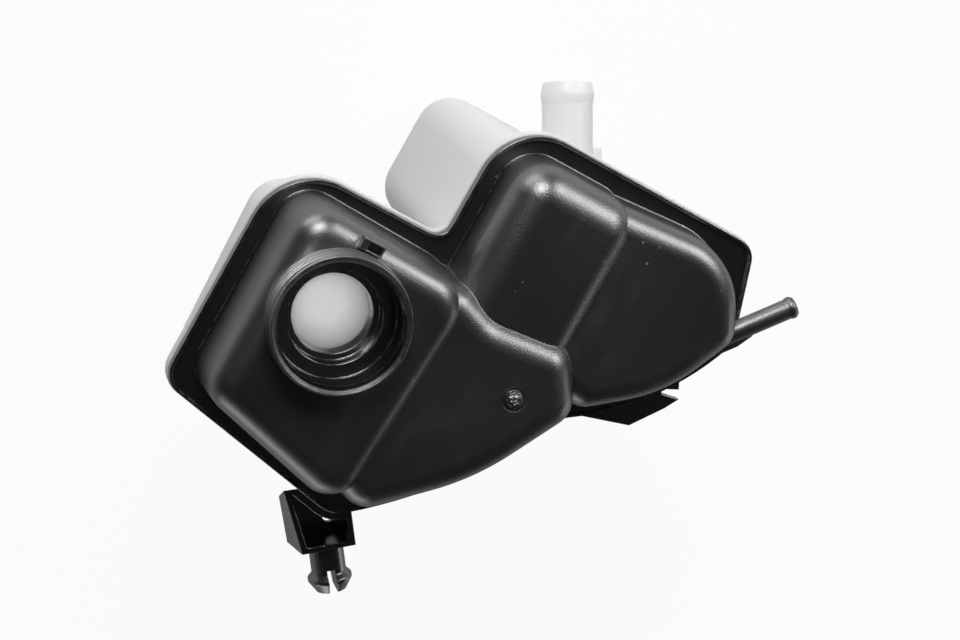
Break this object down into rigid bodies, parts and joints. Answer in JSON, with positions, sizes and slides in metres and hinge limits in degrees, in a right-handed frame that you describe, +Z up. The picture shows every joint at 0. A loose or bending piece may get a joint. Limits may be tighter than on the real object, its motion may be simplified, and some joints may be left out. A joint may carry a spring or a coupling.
{
  "type": "coolant expansion tank",
  "caption": "Coolant expansion tank of welded half shells: terraced black top with a stepped filler neck and vent nipple, white lower half with a deep sump and hose outlet",
  "frame": {"origin": "on the filler neck's axis, at the seat of its seal bore", "axes": "+Z up the filler neck, +X along the tank from the filler end to the far end, +Y to the stepped back; metres"},
  "size_m": [0.2078, 0.2223, 0.1805],
  "materials": {
    "black_shell": "satin moulded black polypropylene",
    "white_shell": "natural white polypropylene, slightly see-through"
  },
  "bodies": {
    "root": {"upper_shell": "black_shell", "lower_shell": "white_shell"}
  },
  "joints": []
}
